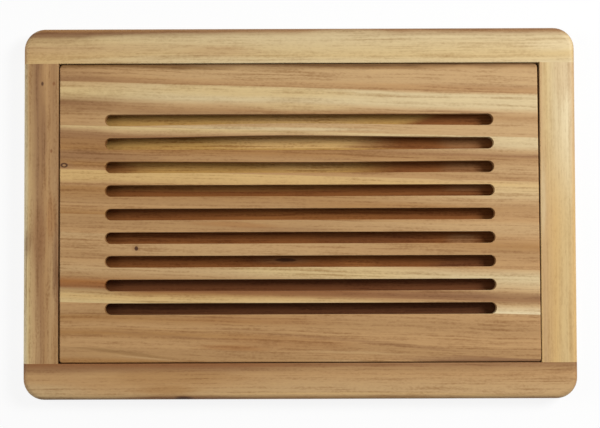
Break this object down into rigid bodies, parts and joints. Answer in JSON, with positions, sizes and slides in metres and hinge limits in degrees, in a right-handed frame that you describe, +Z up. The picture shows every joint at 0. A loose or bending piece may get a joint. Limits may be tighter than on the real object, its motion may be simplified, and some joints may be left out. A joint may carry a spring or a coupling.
{
  "type": "bread board",
  "caption": "Rectangular wooden bread board: a framed crumb tray with a slotted cutting panel that lifts out, so crumbs fall through long round-ended slots.",
  "frame": {"origin": "middle of the flat underside", "axes": "+X along the board towards its right-hand end, +Y towards the rear rail, +Z up"},
  "size_m": [0.475, 0.3192, 0.02],
  "materials": {
    "acacia_frame": "oiled acacia, planed and sanded",
    "acacia_panel": "oiled acacia, edge-glued staves",
    "acacia_floor": "oiled acacia, edge-glued staves",
    "beech_dowel": "plain beech"
  },
  "bodies": {
    "tray": {"rear_rail": "acacia_frame", "front_rail": "acacia_frame", "left_rail": "acacia_frame", "right_rail": "acacia_frame", "floor_stave_1": "acacia_floor", "floor_stave_2": "acacia_floor", "floor_stave_3": "acacia_floor", "floor_stave_4": "acacia_floor", "floor_stave_5": "acacia_floor", "floor_stave_6": "acacia_floor", "floor_stave_7": "acacia_floor", "dowel_rear_left_outer": "beech_dowel", "dowel_rear_left_inner": "beech_dowel", "dowel_rear_right_outer": "beech_dowel", "dowel_rear_right_inner": "beech_dowel", "dowel_front_left_outer": "beech_dowel", "dowel_front_left_inner": "beech_dowel", "dowel_front_right_outer": "beech_dowel", "dowel_front_right_inner": "beech_dowel"},
    "panel": {"panel_stave_1": "acacia_panel", "panel_stave_2": "acacia_panel", "panel_stave_3": "acacia_panel", "panel_stave_4": "acacia_panel", "panel_stave_5": "acacia_panel", "panel_stave_6": "acacia_panel", "panel_stave_7": "acacia_panel", "panel_stave_8": "acacia_panel"}
  },
  "joints": [
    {"name": "panel_lift", "type": "slide", "parent": "tray", "child": "panel", "axis": [0, 0, 1], "range_m": [0, 0.06]}
  ]
}
